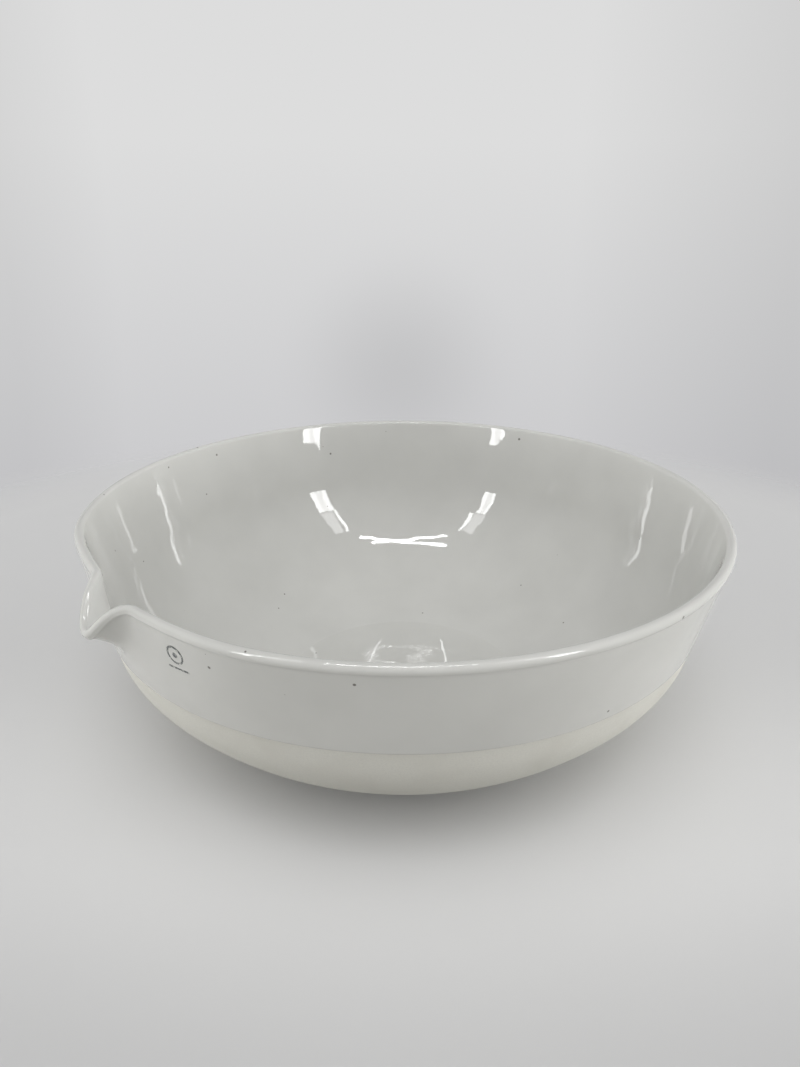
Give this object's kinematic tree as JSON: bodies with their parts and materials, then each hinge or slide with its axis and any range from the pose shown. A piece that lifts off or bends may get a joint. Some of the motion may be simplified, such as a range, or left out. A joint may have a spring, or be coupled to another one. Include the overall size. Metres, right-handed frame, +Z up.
{
  "type": "evaporating basin",
  "caption": "Round flat-bottomed glazed porcelain basin with a rolled rim and a pouring lip, for heating and evaporating liquids.",
  "frame": {"origin": "centre of the foot, on the plane that the basin stands on", "axes": "+Z up along the bowl's axis; +X towards the pouring lip"},
  "size_m": [0.3229, 0.315, 0.112],
  "materials": {
    "porcelain_body": "bare fired porcelain, matt and slightly warm white",
    "glaze_coat": "clear glossy feldspar glaze over white porcelain",
    "printed_mark": "dark grey fired transfer ink"
  },
  "bodies": {
    "root": {"porcelain_body": "porcelain_body", "glaze_coat": "glaze_coat", "printed_mark": "printed_mark"}
  },
  "joints": []
}
